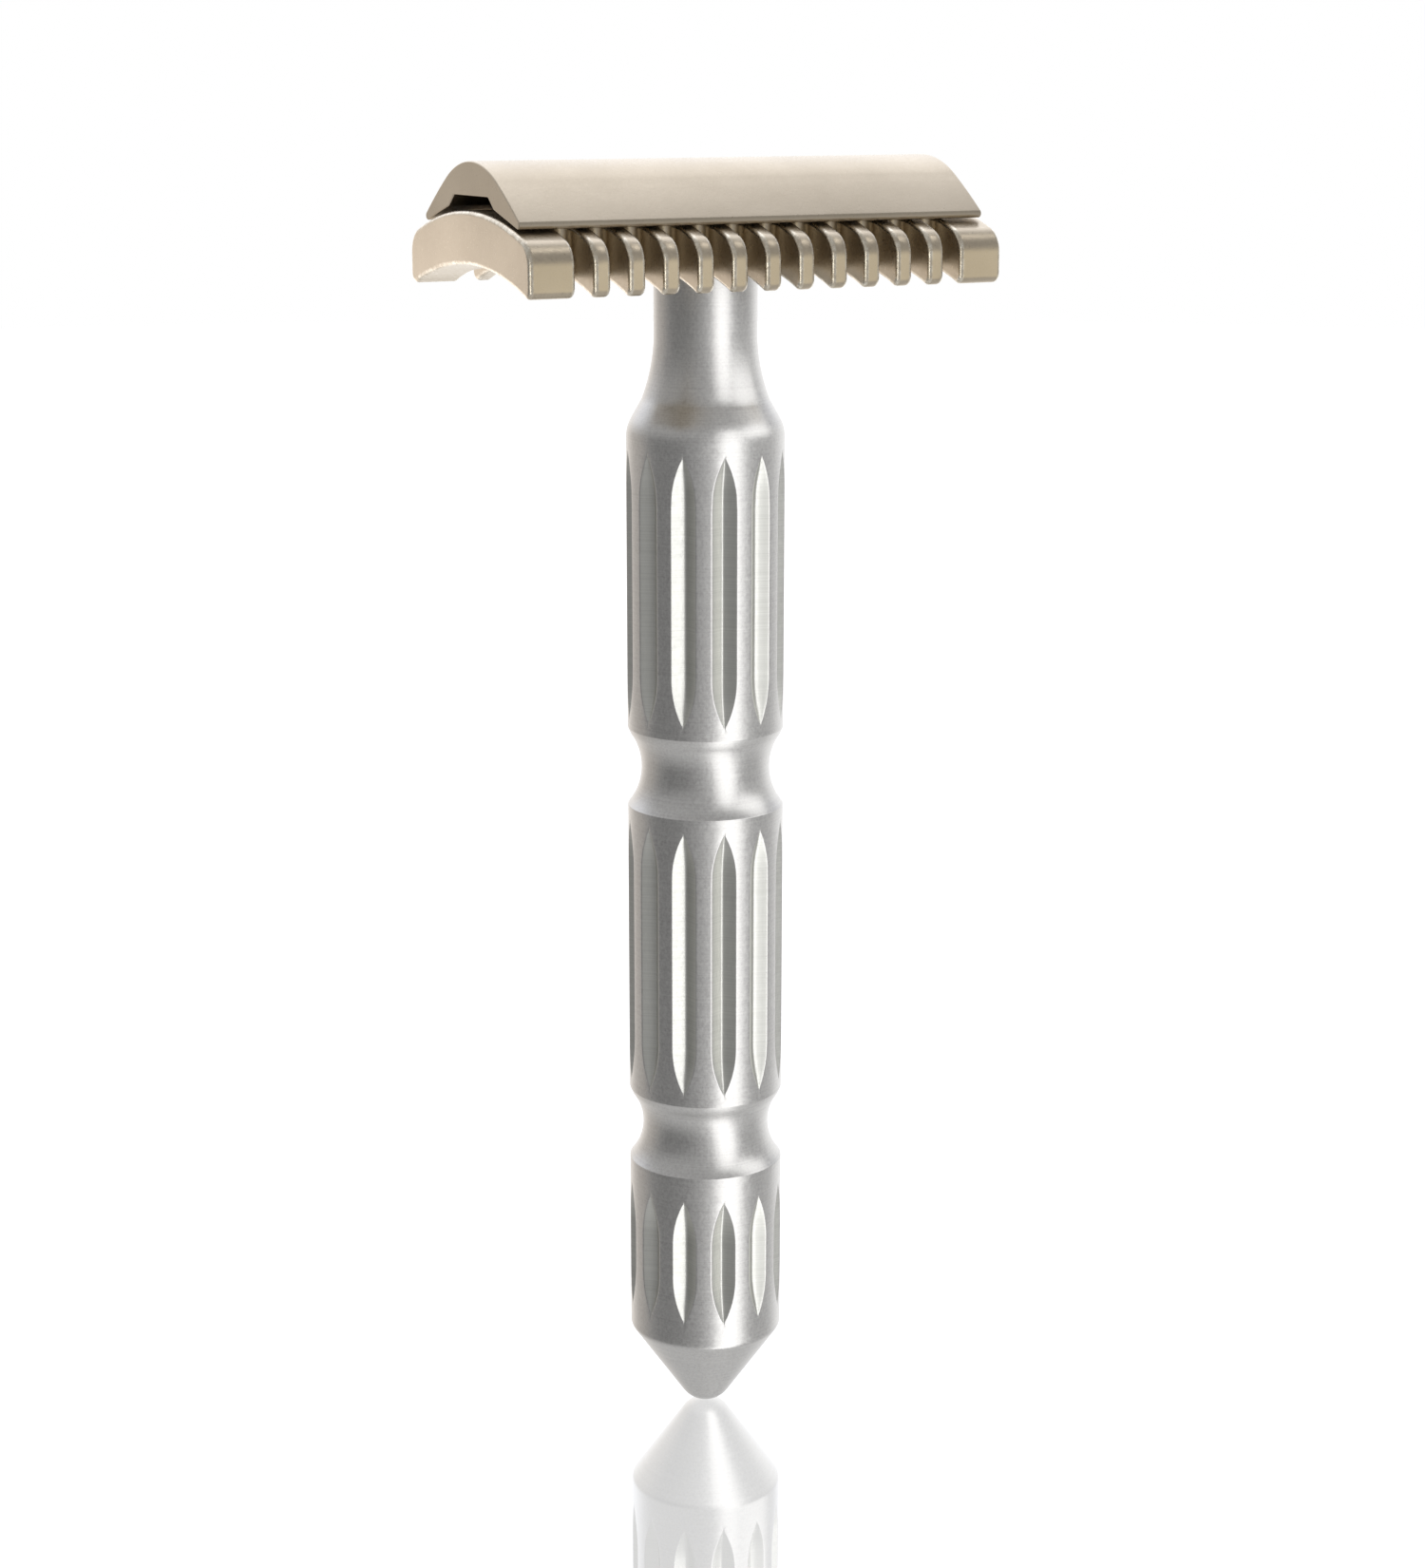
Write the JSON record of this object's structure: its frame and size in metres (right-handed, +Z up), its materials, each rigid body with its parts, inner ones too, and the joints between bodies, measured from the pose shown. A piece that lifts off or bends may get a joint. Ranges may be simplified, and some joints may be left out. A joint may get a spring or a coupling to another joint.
{
  "type": "double-edge safety razor",
  "caption": "Three-piece safety razor: an open-comb head for a double-edge blade, screwed to a slim fluted metal handle.",
  "frame": {"origin": "lowest point of the handle's rounded tip, on the handle's axis, with the razor upright", "axes": "+Z up the handle to the head, +X along the head's length, +Y towards the rear comb"},
  "size_m": [0.0434, 0.024, 0.1119],
  "materials": {
    "handle_metal": "satin, turned, with milled flutes",
    "head_metal": "bead-blasted champagne plating, satin",
    "fastener_metal": "bright, machined"
  },
  "bodies": {
    "handle": {"handle": "handle_metal"},
    "base_plate": {"base_plate": "head_metal"},
    "cap": {"top_cap": "head_metal", "threaded_stud": "fastener_metal", "alignment_post_left": "fastener_metal", "alignment_post_right": "fastener_metal"}
  },
  "joints": [
    {"name": "head_turn", "type": "hinge", "parent": "handle", "child": "base_plate", "pos_m": [0, 0, 0.1037], "axis": [0, 0, 1], "range_deg": [0, 3960]},
    {"name": "cap_lift", "type": "slide", "parent": "base_plate", "child": "cap", "axis": [0, 0, 1], "range_m": [0, 0.0088]}
  ],
  "couplings": [
    {"joint": "cap_lift", "follows": "head_turn", "m_per_rad": 0.00012732}
  ]
}
